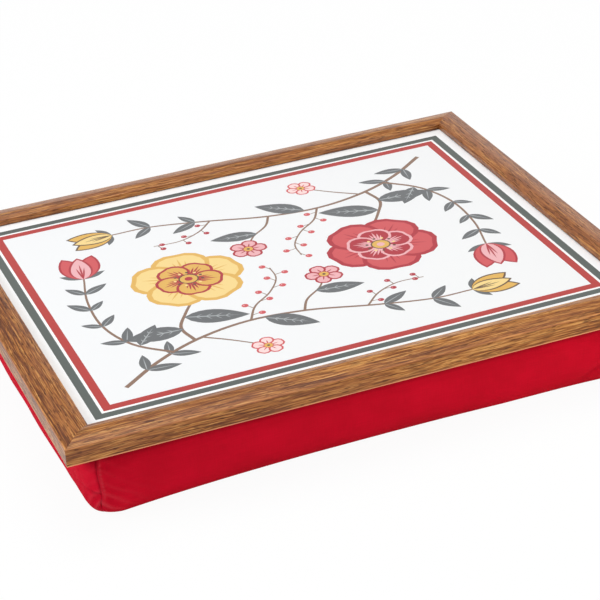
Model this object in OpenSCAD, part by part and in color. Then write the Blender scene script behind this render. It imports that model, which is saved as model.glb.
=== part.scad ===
// Lap tray: a mitred timber frame round a laminate-faced board, on a bead-filled cushion.
// The origin is under the middle of the cushion: +X runs along the tray, +Y to its back edge and +Z up.

/* [Tray] */
// Overall length of the frame, left to right
tray_length = 440; // [380:5:480]
// Overall depth of the frame, front to back
tray_depth = 365; // [300:5:400]

/* [Moulding] */
// Width of a rail seen from above
rail_width = 22; // [20:0.5:26]
// Height of a rail's flat outer side
rail_side_height = 13; // [12:0.5:16]
// Distance from the outer side to the rail's ridge
crest_inset = 13; // [11:0.5:15]
// Rise of the ridge above the outer side
crest_rise = 3.6; // [2:0.2:5]
// Drop from the ridge to the inner edge
sight_drop = 2.2; // [1:0.2:3]
// Radius of the outer top edge
outer_edge_radius = 1.2; // [0.6:0.1:1.6]
// Radius of the ridge
crest_radius = 5; // [3:0.5:7]
// Radius of the inner top edge
sight_edge_radius = 0.8; // [0.4:0.1:1]
// Height of the inner edge above the board's face
lip_height = 4.8; // [4:0.2:5.6]
// Width of the lip that covers the board's edge
lip_width = 6.5; // [5.5:0.5:7]

/* [Board] */
// Gap between the board's edge and the rail
board_clearance = 0.5; // [0.2:0.1:1]
// Thickness of the printed laminate
laminate_thickness = 0.8; // [0.6:0.1:1.2]
// Thickness of the board's core
core_thickness = 2.5; // [2:0.1:3]
// Thickness of the sheet on the core's back
balance_thickness = 0.3; // [0.2:0.1:0.5]

/* [Frame fixings] */
// Height of a corner nail
nail_height = 7; // [5:0.5:8]
// Length of each leg of a corner nail
nail_leg = 5.5; // [4:0.5:5.5]
// Thickness of a corner nail
nail_thickness = 0.6; // [0.4:0.1:0.8]
// Distance of the outer nail's bend from both outer sides
nail_outer_inset = 5; // [4:0.5:5.5]
// Distance between the two nails of a corner
nail_pitch = 4.5; // [3.5:0.5:4.5]
// Length of a framing point
point_length = 14; // [10:1:16]
// Width of a framing point
point_width = 6; // [4:0.5:9]
// Thickness of a framing point
point_thickness = 0.5; // [0.3:0.1:0.7]
// Depth that a framing point is driven into its rail
point_drive = 6; // [4:0.5:8]
// Framing points in each long rail
long_rail_point_count = 3; // [2:1:5]
// Framing points in each short rail
short_rail_point_count = 2; // [2:1:4]

/* [Hem and strips] */
// Distance from the tray's outer side to the hem tape
tape_inset = 3.5; // [2.5:0.5:4]
// Width of the hem tape
tape_width = 9.6; // [8.5:0.1:9.6]
// Thickness of the hem tape
tape_thickness = 1; // [0.6:0.1:1.4]
// Distance from the tray's outer side to the tack strips
strip_inset = 4; // [3:0.5:4.5]
// Width of a tack strip
strip_width = 9; // [7:0.5:9]
// Thickness of a tack strip
strip_thickness = 1.2; // [0.8:0.1:1.6]
// Gap between tack strips at a corner
strip_gap = 0.5; // [0.2:0.1:1.5]
// Length of a staple's crown
staple_crown = 10; // [8:0.5:12]
// Side of a staple's square wire
staple_wire = 0.7; // [0.5:0.1:0.9]
// Depth that a staple is driven into its rail
staple_drive = 5; // [4:0.5:7]
// Distance from a corner to the nearest staple
staple_end = 32; // [26:1:45]
// Staples along each long rail
long_rail_staple_count = 7; // [4:1:9]
// Staples along each short rail
short_rail_staple_count = 6; // [3:1:8]

/* [Cushion] */
// Height from the surface the cushion stands on to the frame
cushion_height = 52.3; // [44:0.1:60]
// Thickness of the cover's cloth
cloth_thickness = 0.8; // [0.6:0.1:1]
// Thickness of the lining's cloth
lining_thickness = 0.4; // [0.3:0.1:0.6]
// Distance from the tray's outer side to the cover's neck
neck_inset = 13.5; // [13.4:0.1:14]
// Depth of the neck below the frame
neck_height = 3.1; // [3:0.1:5]
// Radius of the cushion's upright corners
corner_radius = 18; // [14:1:26]
// Distance from the tray's end to the cushion near its corners
end_corner_inset = 14; // [12:0.5:15]
// Distance from the tray's end to the middle of the cushion's end
end_middle_inset = 8.5; // [8:0.5:12]
// Distance from the tray's front to the cushion near its corners
front_corner_inset = 10; // [9:0.5:13]
// Distance from the tray's front to the middle of the cushion's front
front_middle_inset = 12.5; // [10:0.5:14]
// Depth over which the cushion swells out from its neck
swell_height = 14; // [10:1:20]
// Radius that the bottom edge is rolled to at the corners
corner_roll = 6; // [5:0.5:10]
// Radius that the bottom edge is rolled to between the corners
middle_roll = 20; // [14:1:24]
// Distance that the sides lean in towards the bottom
side_lean = 3.5; // [0:0.5:5]
// Depth of the crease along a corner seam
seam_depth = 1; // [0.4:0.1:1.6]
// Depth cut off the rolled edge where the cushion stands
ground_cut = 0.5; // [0.5:0.1:1]
// Distance from the tips of the framing points to the raised middle of the lining
raised_gap = 2; // [1:0.5:5]
// Gap between the lining and the board's back
lining_gap = 0.3; // [0.2:0.1:0.5]
// Gap between the bead filling and the cloth round it
fill_gap = 0.3; // [0.2:0.1:0.5]
// Corner radius of the filling under the board
fill_corner_radius = 5; // [3:0.5:8]

/* [Hidden] */

// Sides of the tray, each by its angle from the front, counter-clockwise from above
FRONT_ANGLE = 0;
RIGHT_ANGLE = 90;
BACK_ANGLE = 180;
LEFT_ANGLE = 270;
SIDES = [FRONT_ANGLE, RIGHT_ANGLE, BACK_ANGLE, LEFT_ANGLE];

// Length that a cut runs past the face it opens
overrun = 2;

// Heights above the frame's underside
frame_base = cushion_height;
crest_height = rail_side_height + crest_rise;
sight_height = crest_height - sight_drop;
rebate_height = sight_height - lip_height;
rebate_wall = rail_width - lip_width;
core_top = rebate_height - laminate_thickness;
core_bottom = core_top - core_thickness;
board_bottom = core_bottom - balance_thickness;
strip_top = -tape_thickness;
strip_bottom = strip_top - strip_thickness;
strip_middle = strip_inset + strip_width / 2;
point_inset = rebate_wall - point_drive;
raised_inset = point_inset + point_length + raised_gap;
lining_top = board_bottom - lining_gap;

// Counts of steps round an arc, a cushion's corner and a cushion's side
arc_steps = 4;
corner_steps = 6;
side_steps = 6;
// Step of a corner that its seam lies on, counted from the tray's end
seam_step = 4;
// How flat a cushion's side runs before it turns into a corner
bow_power = 2.5;
// Depths of the cushion's rings between its neck and the ground
swell_shares = [0, 0.06, 0.15, 0.3, 0.5, 0.66, 0.78, 0.87, 0.94, 0.98, 1];

// Whether a side is the front or the back, half its length, and its distance from the middle of the tray
function is_long(side) = side == FRONT_ANGLE || side == BACK_ANGLE;
function half_run(side) = (is_long(side) ? tray_length : tray_depth) / 2;
function reach(side) = (is_long(side) ? tray_depth : tray_length) / 2;

// Carries a shape from the front rail's own frame to a side: x along the rail, y in from its outer side,
// z up from the frame's underside
module on_side(side) {
    rotate([0, 0, side]) translate([0, -reach(side), frame_base]) children();
}

// Places along a side for a count of fixings, kept an end distance from both corners
function spread(side, count, end) =
    let (run = half_run(side) - end)
    [for (i = [0:count - 1]) -run + 2 * run * i / (count - 1)];

// Points of an arc, from one angle to another
function arc(centre, radius, from, to) =
    [for (i = [0:arc_steps]) let (a = from + (to - from) * i / arc_steps) centre + radius * [cos(a), sin(a)]];

// Section of a rail: x in from its outer side, y up from its underside
outer_slope = atan(crest_rise / crest_inset);
inner_slope = atan(sight_drop / (rail_width - crest_inset));
outer_edge_set = outer_edge_radius * tan((90 - outer_slope) / 2);
crest_set = crest_radius * tan((outer_slope + inner_slope) / 2);
sight_edge_set = sight_edge_radius * tan((90 - inner_slope) / 2);
crest_arc_start = [crest_inset, crest_height] - crest_set * [cos(outer_slope), sin(outer_slope)];
outer_edge_centre = [outer_edge_radius, rail_side_height - outer_edge_set];
crest_centre = crest_arc_start + crest_radius * [sin(outer_slope), -cos(outer_slope)];
sight_edge_centre = [rail_width - sight_edge_radius, sight_height - sight_edge_set];
rail_section = concat(
    [[0, 0]],
    arc(outer_edge_centre, outer_edge_radius, 180, 90 + outer_slope),
    arc(crest_centre, crest_radius, 90 + outer_slope, 90 - inner_slope),
    arc(sight_edge_centre, sight_edge_radius, 90 - inner_slope, 0),
    [[rail_width, rebate_height], [rebate_wall, rebate_height], [rebate_wall, 0]]
);

// One mitred length of moulding, with the slots that its nails, points and staples are driven into
module rail(side) {
    half = half_run(side);
    short_half = half - rail_width;
    difference() {
        on_side(side) intersection() {
            rotate([90, 0, 90]) linear_extrude(2 * half, center = true) polygon(rail_section);
            linear_extrude(crest_height)
                polygon([[-half, 0], [half, 0], [short_half, rail_width], [-short_half, rail_width]]);
        }
        corner_nail_set(overrun);
        framing_point_set(side);
        staple_leg_set(side);
    }
}

module front_rail() {
    color("#a8744a") rail(FRONT_ANGLE);
}

module right_rail() {
    color("#a8744a") rail(RIGHT_ANGLE);
}

module back_rail() {
    color("#a8744a") rail(BACK_ANGLE);
}

module left_rail() {
    color("#a8744a") rail(LEFT_ANGLE);
}

// A right-angled nail pressed up across the mitre, its bend towards the outer corner
module corner_nail(inset, run_out) {
    t = nail_thickness;
    translate([inset - t / 2, inset - t / 2, -run_out])
        linear_extrude(nail_height + run_out)
            polygon([[0, 0], [nail_leg, 0], [nail_leg, t], [t, t], [t, nail_leg], [0, nail_leg]]);
}

module corner_nail_set(run_out = 0) {
    for (side = SIDES)
        on_side(side)
            translate([-half_run(side), 0, 0])
                for (k = [0, 1])
                    corner_nail(nail_outer_inset + k * nail_pitch, run_out);
}

module corner_nails() {
    color("silver") corner_nail_set();
}

// A flat sheet that fills the frame's rebate, from one height up to another
module sheet(bottom, thickness) {
    edge = rebate_wall + board_clearance;
    translate([edge - tray_length / 2, edge - tray_depth / 2, frame_base + bottom])
        cube([tray_length - 2 * edge, tray_depth - 2 * edge, thickness]);
}

module printed_laminate() {
    color("#f4f3f1") sheet(core_top, laminate_thickness);
}

module board_core() {
    color("#b08a5e") sheet(core_bottom, core_thickness);
}

module balancing_sheet() {
    color("#d8cfc0") sheet(board_bottom, balance_thickness);
}

// Flat points driven into a rail's rebate, hard against the board's back
module framing_point_set(side) {
    count = is_long(side) ? long_rail_point_count : short_rail_point_count;
    end = half_run(side) / count;
    on_side(side)
        for (x = spread(side, count, end))
            translate([x - point_width / 2, point_inset, board_bottom - point_thickness])
                cube([point_width, point_length, point_thickness]);
}

module framing_points() {
    color("silver") for (side = SIDES) framing_point_set(side);
}

// A rectangle with its edges a distance in from the tray's outer sides
module inset_square(inset) {
    square([tray_length - 2 * inset, tray_depth - 2 * inset], center = true);
}

// The tape that binds the cover's top edge, laid flat under the rails
module hem_tape() {
    color("#8f1226") difference() {
        translate([0, 0, frame_base - tape_thickness]) linear_extrude(tape_thickness) difference() {
            inset_square(tape_inset);
            inset_square(tape_inset + tape_width);
        }
        for (side = SIDES) staple_leg_set(side);
    }
}

// A strip that clamps the tape to one rail. The short strips butt against the long ones.
module tack_strip(side) {
    set_back = is_long(side) ? strip_inset : strip_inset + strip_width + strip_gap;
    run = half_run(side) - set_back;
    difference() {
        on_side(side)
            translate([-run, strip_inset, strip_bottom]) cube([2 * run, strip_width, strip_thickness]);
        staple_leg_set(side);
    }
}

module front_tack_strip() {
    color("#6b5a48") tack_strip(FRONT_ANGLE);
}

module right_tack_strip() {
    color("#6b5a48") tack_strip(RIGHT_ANGLE);
}

module back_tack_strip() {
    color("#6b5a48") tack_strip(BACK_ANGLE);
}

module left_tack_strip() {
    color("#6b5a48") tack_strip(LEFT_ANGLE);
}

// Middles of the staples along one side
function staple_places(side) =
    spread(side, is_long(side) ? long_rail_staple_count : short_rail_staple_count, staple_end);

// The legs of one side's staples, from their crowns up into the rail
module staple_leg_set(side) {
    leg_offset = (staple_crown - staple_wire) / 2;
    leg_bottom = strip_bottom - staple_wire;
    on_side(side)
        for (x = staple_places(side), k = [-1, 1])
            translate([x + k * leg_offset - staple_wire / 2, strip_middle - staple_wire / 2, leg_bottom])
                cube([staple_wire, staple_wire, staple_drive - leg_bottom]);
}

module staple_crown_set(side) {
    on_side(side)
        for (x = staple_places(side))
            translate([x - staple_crown / 2, strip_middle - staple_wire / 2, strip_bottom - staple_wire])
                cube([staple_crown, staple_wire, staple_wire]);
}

module strip_staples() {
    color("silver") for (side = SIDES) union() {
        staple_leg_set(side);
        staple_crown_set(side);
    }
}

// One corner of a ring, drawn in at the step that the seam lies on
function ring_corner(centre, start, radius, seam, step) = [
    for (i = [0:corner_steps])
        let (a = start + 90 * i / corner_steps, r = radius - (i == step ? seam : 0))
        centre + r * [cos(a), sin(a)]
];

// The points between two corners, moved inward by the bow, most at the middle
function ring_side(from, to, inward, bow) = [
    for (i = [1:side_steps - 1])
        let (t = i / side_steps)
        from + (to - from) * t + bow * (1 - pow(abs(2 * t - 1), bow_power)) * inward
];

// A closed ring at one height, counter-clockwise from above. The corner insets are from the tray's outer
// sides, and the bows are how much further in the middles of the ends and of the front and back lie.
function ring(end_inset, front_inset, end_bow, front_bow, radius, seam, z) =
    let (
        x = tray_length / 2 - end_inset,
        y = tray_depth / 2 - front_inset,
        cx = x - radius,
        cy = y - radius,
        flat = concat(
            ring_corner([cx, -cy], -90, radius, seam, corner_steps - seam_step),
            ring_side([x, -cy], [x, cy], [-1, 0], end_bow),
            ring_corner([cx, cy], 0, radius, seam, seam_step),
            ring_side([cx, y], [-cx, y], [0, -1], front_bow),
            ring_corner([-cx, cy], 90, radius, seam, corner_steps - seam_step),
            ring_side([-x, cy], [-x, -cy], [1, 0], end_bow),
            ring_corner([-cx, -cy], 180, radius, seam, seam_step),
            ring_side([-cx, -y], [cx, -y], [0, 1], front_bow)
        )
    )
    [for (p = flat) [p[0], p[1], z]];

// How far a rolled bottom edge has turned in at a depth
function roll(depth, radius) =
    let (u = max(0, 1 - (cushion_height + ground_cut - depth) / radius))
    radius * (1 - sqrt(1 - u * u));

// A ring of the cushion, at a share of the depth from the lining to the ground. The offset shrinks it all
// round, and the gaps hold it off the lining and the ground.
function cushion_ring(share, offset, top_gap, bottom_gap) =
    let (
        run = cushion_height - lining_thickness,
        depth = lining_thickness + share * run,
        pinch = pow(max(0, 1 - max(0, depth - neck_height) / swell_height), 2),
        lean = side_lean * pow(share, 2),
        corner = roll(depth, corner_roll) + lean,
        middle = roll(depth, middle_roll) - corner,
        bulge = 1 - pinch,
        end_inset = end_corner_inset + (neck_inset - end_corner_inset) * pinch + corner,
        front_inset = front_corner_inset + (neck_inset - front_corner_inset) * pinch + corner,
        swell = sin(180 * share) * bulge
    )
    ring(
        end_inset + offset,
        front_inset + offset,
        (end_middle_inset - end_corner_inset) * swell + middle,
        (front_middle_inset - front_corner_inset) * swell + middle,
        corner_radius - offset,
        seam_depth * swell,
        frame_base - lining_thickness - top_gap - share * (run - top_gap - bottom_gap)
    );

ring_points = 4 * (corner_steps + 1) + 4 * (side_steps - 1);
neck_share = (neck_height - lining_thickness) / (cushion_height - lining_thickness);
ring_shares = concat([0], [for (s = swell_shares) neck_share + (1 - neck_share) * s]);
ring_count = len(ring_shares);

function skin(offset, top_gap, bottom_gap) = [
    for (s = ring_shares)
        each cushion_ring(s, offset, top_gap, bottom_gap)
];

// Triangles between a ring that starts at point a and the next one down, which starts at point b
function band(a, b, outward) = [
    for (i = [0:ring_points - 1])
        let (j = (i + 1) % ring_points)
        each outward
            ? [[a + i, a + j, b + i], [a + j, b + j, b + i]]
            : [[a + i, b + i, a + j], [a + j, b + i, b + j]]
];

// Triangles from a ring to a point at its middle, which face down or up
function fan(ring_start, middle, down) = [
    for (i = [0:ring_points - 1])
        let (p = ring_start + i, q = ring_start + (i + 1) % ring_points)
        down ? [middle, p, q] : [middle, q, p]
];

// The cover: an outer and an inner skin, joined round the neck and each closed over the bottom
module cushion_cover() {
    p = ring_points;
    inner = ring_count * p;
    last = inner - p;
    ground = 2 * inner;
    color("#b20f2c") polyhedron(
        points = concat(
            skin(0, 0, 0),
            skin(cloth_thickness, 0, cloth_thickness),
            [[0, 0, 0], [0, 0, cloth_thickness]]
        ),
        faces = concat(
            [for (k = [1:ring_count - 1]) each band((k - 1) * p, k * p, true)],
            [for (k = [1:ring_count - 1]) each band(inner + (k - 1) * p, inner + k * p, false)],
            band(0, inner, false),
            fan(last, ground, true),
            fan(inner + last, ground + 1, false)
        )
    );
}

// The bead filling: it rises under the board and swells out to fill the cover
module bead_filling() {
    offset = cloth_thickness + fill_gap;
    raised = raised_inset + lining_thickness + fill_gap;
    top = frame_base + lining_top - lining_thickness - fill_gap;
    shoulder = frame_base - lining_thickness - fill_gap;
    bottom = cloth_thickness + fill_gap;
    p = ring_points;
    last = (ring_count + 1) * p;
    crown = last + p;
    color("#f2f2ee") polyhedron(
        points = concat(
            ring(raised, raised, 0, 0, fill_corner_radius, 0, top),
            ring(raised, raised, 0, 0, fill_corner_radius, 0, shoulder),
            skin(offset, fill_gap, bottom),
            [[0, 0, top], [0, 0, bottom]]
        ),
        faces = concat(
            fan(0, crown, false),
            [for (k = [1:ring_count + 1]) each band((k - 1) * p, k * p, true)],
            fan(last, crown + 1, true)
        )
    );
}

// The cloth that closes the cushion's top: a margin under the rails and a raised middle under the board
module cushion_lining() {
    color("#e6e2d8") translate([0, 0, frame_base]) difference() {
        union() {
            translate([0, 0, -lining_thickness]) linear_extrude(lining_thickness) inset_square(neck_inset);
            translate([0, 0, -lining_thickness]) linear_extrude(lining_top + lining_thickness)
                inset_square(raised_inset);
        }
        translate([0, 0, -lining_thickness - overrun]) linear_extrude(lining_top + overrun)
            inset_square(raised_inset + lining_thickness);
    }
}

front_rail();
right_rail();
back_rail();
left_rail();
corner_nails();
printed_laminate();
board_core();
balancing_sheet();
framing_points();
hem_tape();
front_tack_strip();
right_tack_strip();
back_tack_strip();
left_tack_strip();
strip_staples();
cushion_cover();
cushion_lining();
bead_filling();
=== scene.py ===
import math

import bmesh
import bpy
import numpy as np
from mathutils import Matrix, Vector, geometry, noise


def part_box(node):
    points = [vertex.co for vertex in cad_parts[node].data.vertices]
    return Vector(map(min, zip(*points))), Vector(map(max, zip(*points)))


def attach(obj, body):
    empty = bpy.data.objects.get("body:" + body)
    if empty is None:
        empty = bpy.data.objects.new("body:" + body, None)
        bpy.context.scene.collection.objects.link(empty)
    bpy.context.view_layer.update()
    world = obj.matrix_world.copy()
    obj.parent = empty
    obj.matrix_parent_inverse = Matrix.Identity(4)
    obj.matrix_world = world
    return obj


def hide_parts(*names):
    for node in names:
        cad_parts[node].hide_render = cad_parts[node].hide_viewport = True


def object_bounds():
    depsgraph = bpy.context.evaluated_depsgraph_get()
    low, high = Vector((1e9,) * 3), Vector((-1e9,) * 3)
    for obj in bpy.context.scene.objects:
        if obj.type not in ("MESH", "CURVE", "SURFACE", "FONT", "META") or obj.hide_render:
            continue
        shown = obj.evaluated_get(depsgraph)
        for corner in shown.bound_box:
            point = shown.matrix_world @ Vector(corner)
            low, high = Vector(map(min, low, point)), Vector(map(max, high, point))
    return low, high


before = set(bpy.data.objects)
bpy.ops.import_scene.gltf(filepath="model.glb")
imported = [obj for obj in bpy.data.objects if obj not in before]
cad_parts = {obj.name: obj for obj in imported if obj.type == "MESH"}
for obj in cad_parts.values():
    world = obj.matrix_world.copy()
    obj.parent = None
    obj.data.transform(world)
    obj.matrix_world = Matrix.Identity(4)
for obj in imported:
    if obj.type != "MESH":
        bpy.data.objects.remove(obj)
cad_low, cad_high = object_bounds()
tray_length = cad_high.x - cad_low.x
tray_depth = cad_high.y - cad_low.y


# The frame: four lengths of one timber moulding, its face planed to two slopes that meet in a soft ridge,
# with a lip over the board. They are mitred, glued and pinned at the corners, and finished with a satin
# lacquer.
RAIL_WIDTH = 0.022
RAIL_SIDE_HEIGHT = 0.013
CREST_INSET = 0.013
CREST_RISE = 0.0036
SIGHT_DROP = 0.0022
LIP_HEIGHT = 0.0048
LIP_WIDTH = 0.0065
OUTER_EDGE_RADIUS = 0.0012
CREST_RADIUS = 0.026
SIGHT_EDGE_RADIUS = 0.0018
LIP_FOOT_RADIUS = 0.0007
FOOT_EDGE_RADIUS = 0.0008
FOOT_BAND = 0.0013
# Each edge with a painted highlight, for the light its rounding catches and, at the foot, for the cushion's
# red light thrown up on it: its height, how far from it the highlight is full and how far it reaches at all,
# and how strongly
HIGHLIGHT_EDGES = ((0, 0.0008, FOOT_BAND, 0.7), (RAIL_SIDE_HEIGHT, 0.00035, 0.0009, 0.28))
# How far the painted shade reaches up the wood from the lip's foot, where it meets the board
LIP_SHADE_REACH = 0.0014
MITRE_CHAMFER = 0.00012
frame_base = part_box("front_rail")[0].z
crest_height = RAIL_SIDE_HEIGHT + CREST_RISE
rebate_height = crest_height - SIGHT_DROP - LIP_HEIGHT
rebate_wall = RAIL_WIDTH - LIP_WIDTH


def srgb(red, green, blue):
    """A colour written as it looks on a screen, 0 to 255, as the shaders take it."""
    steps = [c / 255 for c in (red, green, blue)]
    return (*[c / 12.92 if c <= 0.04045 else ((c + 0.055) / 1.055) ** 2.4 for c in steps], 1)


class Paint:
    """One output of a material's nodes. Sums on it add Math nodes, and node() adds any other node."""

    def __init__(self, tree, socket=None):
        self.tree = tree
        self.socket = socket

    def node(self, kind, settings, values, output=0):
        new = self.tree.nodes.new(kind)
        for name, setting in settings.items():
            if name == "stops":
                stops = new.color_ramp.elements
                while len(stops) < len(setting):
                    stops.new(1)
                for stop, (place, colour) in zip(stops, setting):
                    stop.position = place
                    stop.color = colour
            else:
                setattr(new, name, setting)
        for name, value in values.items():
            if isinstance(value, Paint):
                self.tree.links.new(value.socket, new.inputs[name])
            else:
                new.inputs[name].default_value = value
        return Paint(self.tree, new.outputs[output])

    def sum(self, operation, first, second):
        return self.node("ShaderNodeMath", {"operation": operation}, {0: first, 1: second})

    def __add__(self, other):
        return self.sum("ADD", self, other)

    def __sub__(self, other):
        return self.sum("SUBTRACT", self, other)

    def __rsub__(self, other):
        return self.sum("SUBTRACT", other, self)

    def __mul__(self, other):
        return self.sum("MULTIPLY", self, other)

    __radd__ = __add__

    def between(self, low, high):
        """0 up to one value and 1 from another, smooth between them."""
        values = {"Value": self, "From Min": low, "From Max": high}
        return self.node("ShaderNodeMapRange", {"interpolation_type": "SMOOTHSTEP"}, values)

    def tint(self, first, second):
        """The first colour where this is 0, and the second where it is 1."""
        return self.node("ShaderNodeMix", {"data_type": "RGBA"}, {0: self, 6: first, 7: second}, output=2)

    def blotches(self, place, *sizes, detail=2.0, rough=0.5):
        """Soft noise with blotches of these sizes in metres along x, y and z, or the last for the rest."""
        scales = [1 / size for size in (*sizes, sizes[-1], sizes[-1])[:3]]
        stretched = self.node("ShaderNodeVectorMath", {"operation": "MULTIPLY"}, {0: place, 1: scales})
        values = {"Vector": stretched, "Scale": 1.0, "Detail": detail, "Roughness": rough}
        return self.node("ShaderNodeTexNoise", {}, values)

    def relief(self, height, depth):
        """The surface's direction where this height, 0 to 1, stands up to a depth in metres."""
        return self.node("ShaderNodeBump", {}, {"Height": height, "Distance": depth})

    def place(self):
        """Where a point lies on the object, in metres."""
        return self.node("ShaderNodeTexCoord", {}, {}, output="Object")

    def kept(self, name):
        """The value that the mesh keeps under this name."""
        return self.node("ShaderNodeAttribute", {"attribute_name": name}, {}, output="Fac")

    def across(self):
        """The first two coordinates of this place."""
        first = self.node("ShaderNodeSeparateXYZ", {}, {0: self})
        return first, first.beside("Y")

    def beside(self, name):
        """Another output of the same node."""
        return Paint(self.tree, self.socket.node.outputs[name])


def drive(shader, **inputs):
    """Sets or links the shader's inputs, named with _ for a space."""
    for name, value in inputs.items():
        socket = shader.inputs[name.replace("_", " ")]
        if isinstance(value, Paint):
            shader.id_data.links.new(value.socket, socket)
        else:
            socket.default_value = value


def material(name, finish, *about, **details):
    """A new material. Its finish takes its paint, and gives back its shader's inputs."""
    new = bpy.data.materials.new(name)
    new.use_nodes = True
    inputs = finish(Paint(new.node_tree), *about, **details)
    drive(new.node_tree.nodes["Principled BSDF"], **inputs)
    return new


TIMBER_TONES = [
    (0.30, srgb(98, 46, 12)),
    (0.44, srgb(146, 84, 32)),
    (0.54, srgb(178, 114, 50)),
    (0.68, srgb(214, 154, 84)),
]
TIMBER_CONTRAST = 2.05
TIMBER_RUDDY = srgb(158, 98, 60)
# The colour of the pores, and of the painted shade at the lip's foot
TIMBER_PORE_AND_SHADE = srgb(66, 30, 10)
# The colour of the painted highlight and red glow along the rails' edges
TIMBER_HIGHLIGHT = srgb(242, 160, 114)


def timber(paint, turn, start, tone_and_shade, stain_and_sheen):
    """Lacquered timber, its grain along a rail turned this far and from its own place in the plank. Below 0,
    tone_and_shade makes it darker than the plank is elsewhere, and stain_and_sheen evens out its figure;
    both are set for each side, partly as painted shade and sheen for how the light falls there. Its edges
    carry a painted highlight, and the lip's foot a painted shade."""
    place = paint.place()
    turned = {"Vector": place, "Rotation": (0, 0, -turn), "Location": start}
    along = paint.node("ShaderNodeMapping", {}, turned)
    sway = paint.blotches(along, 0.11, 0.03, detail=1.0) - 0.5
    wave = paint.node("ShaderNodeCombineXYZ", {}, {"Y": sway * 0.007, "Z": sway * 0.005})
    grain = paint.node("ShaderNodeVectorMath", {"operation": "ADD"}, {0: along, 1: wave})
    band = paint.blotches(grain, 0.2, 0.007)
    streak = paint.blotches(grain, 0.06, 0.0013, detail=3.0, rough=0.65)
    fibre = paint.blotches(grain, 0.022, 0.0009, rough=0.65)
    dash = paint.blotches(grain, 0.015, 0.001, detail=1.0).between(0.55, 0.66)
    pore = paint.blotches(grain, 0.008, 0.0008, detail=1.0).between(0.57, 0.68)
    ruddy = paint.blotches(along, 0.06, 0.012, detail=1.0).between(0.42, 0.66)
    depth = band * 0.2 + streak * 0.35 + fibre * 0.45
    toned = (depth - 0.5) * TIMBER_CONTRAST + 0.5 + tone_and_shade
    wood = paint.node("ShaderNodeValToRGB", {"stops": TIMBER_TONES}, {"Fac": toned})
    stained = (ruddy * 0.3 + stain_and_sheen).tint(wood, TIMBER_RUDDY)
    pored = paint.sum("MAXIMUM", dash * 0.5, pore * 0.7).tint(stained, TIMBER_PORE_AND_SHADE)
    worn = paint.kept("worn")
    grime = paint.kept("grime")
    return dict(
        # A painted highlight along the edges, under a painted shade at the lip's foot
        Base_Color=(grime * 0.9).tint(worn.tint(pored, TIMBER_HIGHLIGHT), TIMBER_PORE_AND_SHADE),
        Roughness=0.4 + pore * 0.2 + streak * 0.1,
        Specular_IOR_Level=0.15,
        Normal=paint.relief(fibre * 0.4 + streak * 0.4 - pore, 0.00006),
        Coat_Weight=0.35,
        Coat_Roughness=0.25,
    )


def deselect():
    bpy.ops.object.select_all(action="DESELECT")


def work_on(piece):
    """Makes this the one object that the operators change."""
    deselect()
    piece.select_set(True)
    bpy.context.view_layer.objects.active = piece


def mesh_object(name, corners, faces):
    """A new object with a mesh of its own."""
    mesh = bpy.data.meshes.new(name)
    mesh.from_pydata(corners, [], faces)
    new = bpy.data.objects.new(name, mesh)
    bpy.context.collection.objects.link(new)
    return new


def thicken(cloth, thickness):
    """Gives the cloth being worked on its thickness, on its inner side."""
    wall = cloth.modifiers.new("cloth thickness", "SOLIDIFY")
    wall.thickness = thickness
    wall.offset = -1
    bpy.ops.object.modifier_apply(modifier=wall.name)


def pick(domain, test):
    """Selects, in edit mode, just the verts, edges or faces that pass a test."""
    bpy.ops.mesh.select_mode(type=domain)
    bpy.ops.mesh.select_all(action="DESELECT")
    mesh = bmesh.from_edit_mesh(bpy.context.object.data)
    for part in {"VERT": mesh.verts, "EDGE": mesh.edges, "FACE": mesh.faces}[domain]:
        part.select_set(test(part))
    bmesh.update_edit_mesh(bpy.context.object.data)


def cut(place, across, **kept):
    """Cuts the whole mesh, in edit mode, along the plane across a direction."""
    bpy.ops.mesh.select_all(action="SELECT")
    bpy.ops.mesh.bisect(plane_co=place, plane_no=across, **kept)


def near(value, target):
    return abs(value - target) < 0.00002


def runs_along(edge, y, z):
    """Whether an edge lies along the rail at a distance in from its outer side and a height."""
    return all(near(end.co.y, y) and near(end.co.z, z) for end in edge.verts)


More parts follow.
